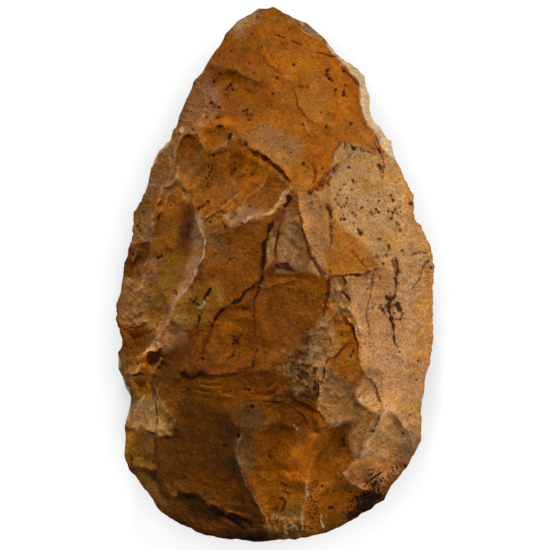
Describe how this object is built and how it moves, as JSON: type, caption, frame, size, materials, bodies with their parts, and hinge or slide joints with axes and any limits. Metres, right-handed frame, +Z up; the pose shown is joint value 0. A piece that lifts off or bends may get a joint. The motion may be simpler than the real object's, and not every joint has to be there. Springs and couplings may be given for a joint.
{
  "type": "stone hand axe",
  "caption": "Teardrop-shaped hand axe of knapped flint, flaked on both faces to a sinuous cutting edge, lying flat on its worn underside.",
  "frame": {"origin": "middle of the stone's length and width, on the surface that it lies on", "axes": "+Y towards the pointed tip, +Z up through the thickness, +X to the right seen from above with the tip away from you"},
  "size_m": [0.1012, 0.1699, 0.0427],
  "materials": {
    "stone": "flint with an ochre to brown patina, satin gloss on smooth flake scars, paler where the edge is chipped"
  },
  "bodies": {
    "root": {"hand_axe": "stone"}
  },
  "joints": []
}
